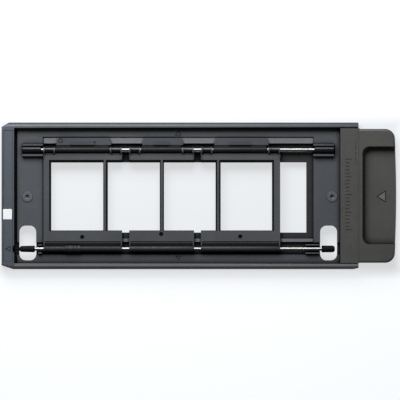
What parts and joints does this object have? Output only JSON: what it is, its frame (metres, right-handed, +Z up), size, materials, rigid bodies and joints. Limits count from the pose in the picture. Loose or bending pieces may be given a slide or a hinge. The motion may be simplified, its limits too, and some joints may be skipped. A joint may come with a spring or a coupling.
{
  "type": "negative carrier",
  "caption": "Flat slide-in carrier that holds a medium-format film strip under a hinged windowed mask, with a latch rod, clamp tabs and a pull handle.",
  "frame": {"origin": "centre of the bounding box on the underside, z = 0 under the side rails and the end bar", "axes": "+X towards the pull handle, +Y towards the hinge rod, +Z up out of the film side; all metres"},
  "size_m": [0.3244, 0.1206, 0.011],
  "materials": {
    "tray": "fine spark-eroded grain with polished rails",
    "handle": "satin grain",
    "cover_plate": "matte grain",
    "screw_steel": "blackened",
    "rod_steel": "ground and polished",
    "cap": "semi-gloss",
    "guide_grey": "matte",
    "patch_white": "smooth adhesive label",
    "mask": "satin grain",
    "knob": "matte",
    "tab": "semi-gloss barrel, satin leaf",
    "spring_steel": "drawn wire"
  },
  "bodies": {
    "carrier": {"carrier_body": "tray", "latch_channel": "tray", "floor_margin": "tray", "side_rail_rear": "tray", "side_rail_front": "tray", "end_bar": "tray", "rod_guide_left_rear": "tray", "rod_guide_left_front": "tray", "rod_guide_right_rear": "tray", "rod_guide_right_front": "tray", "handle_shell": "handle", "handle_cover": "cover_plate", "handle_screw_1": "screw_steel", "handle_screw_2": "screw_steel", "handle_screw_3": "screw_steel", "handle_screw_4": "screw_steel", "hinge_rod": "rod_steel", "hinge_rod_cap_left": "cap", "hinge_rod_cap_right": "cap", "film_edge_strip": "guide_grey", "film_guide_strip": "guide_grey", "reference_patch": "patch_white", "clamp_spring_left": "spring_steel", "clamp_spring_middle": "spring_steel", "clamp_spring_right": "spring_steel"},
    "mask": {"mask_left": "mask", "mask_middle": "mask", "mask_right": "mask", "mask_hook_1": "mask", "mask_hook_2": "mask", "mask_hook_3": "mask", "mask_hook_4": "mask", "mask_hook_5": "mask", "mask_hook_6": "mask", "latch_spring": "spring_steel"},
    "latch": {"latch_rod": "rod_steel", "latch_knob_left": "knob", "latch_knob_right": "knob", "latch_collar": "cap"},
    "clamp_left": {"clamp_tab_left": "tab"},
    "clamp_middle": {"clamp_tab_middle": "tab"},
    "clamp_right": {"clamp_tab_right": "tab"}
  },
  "joints": [
    {"name": "mask_hinge", "type": "hinge", "parent": "carrier", "child": "mask", "pos_m": [0, 0.0378, 0.0075], "axis": [-1, 0, 0], "range_deg": [0, 110]},
    {"name": "latch_slide", "type": "slide", "parent": "mask", "child": "latch", "axis": [1, 0, 0], "range_m": [0, 0.002], "stiffness_N_per_m": 300, "springref_m": -0.004, "deforming": ["latch_spring"]},
    {"name": "clamp_left_pivot", "type": "hinge", "parent": "carrier", "child": "clamp_left", "pos_m": [-0.0958, 0.0378, 0.0075], "axis": [-1, 0, 0], "range_deg": [0, 6], "stiffness_Nm_per_rad": 0.02, "springref_deg": -17.19, "deforming": ["clamp_spring_left"]},
    {"name": "clamp_middle_pivot", "type": "hinge", "parent": "carrier", "child": "clamp_middle", "pos_m": [-0.03085, 0.0378, 0.0075], "axis": [-1, 0, 0], "range_deg": [0, 6], "stiffness_Nm_per_rad": 0.02, "springref_deg": -17.19, "deforming": ["clamp_spring_middle"]},
    {"name": "clamp_right_pivot", "type": "hinge", "parent": "carrier", "child": "clamp_right", "pos_m": [0.03385, 0.0378, 0.0075], "axis": [-1, 0, 0], "range_deg": [0, 6], "stiffness_Nm_per_rad": 0.02, "springref_deg": -17.19, "deforming": ["clamp_spring_right"]}
  ]
}
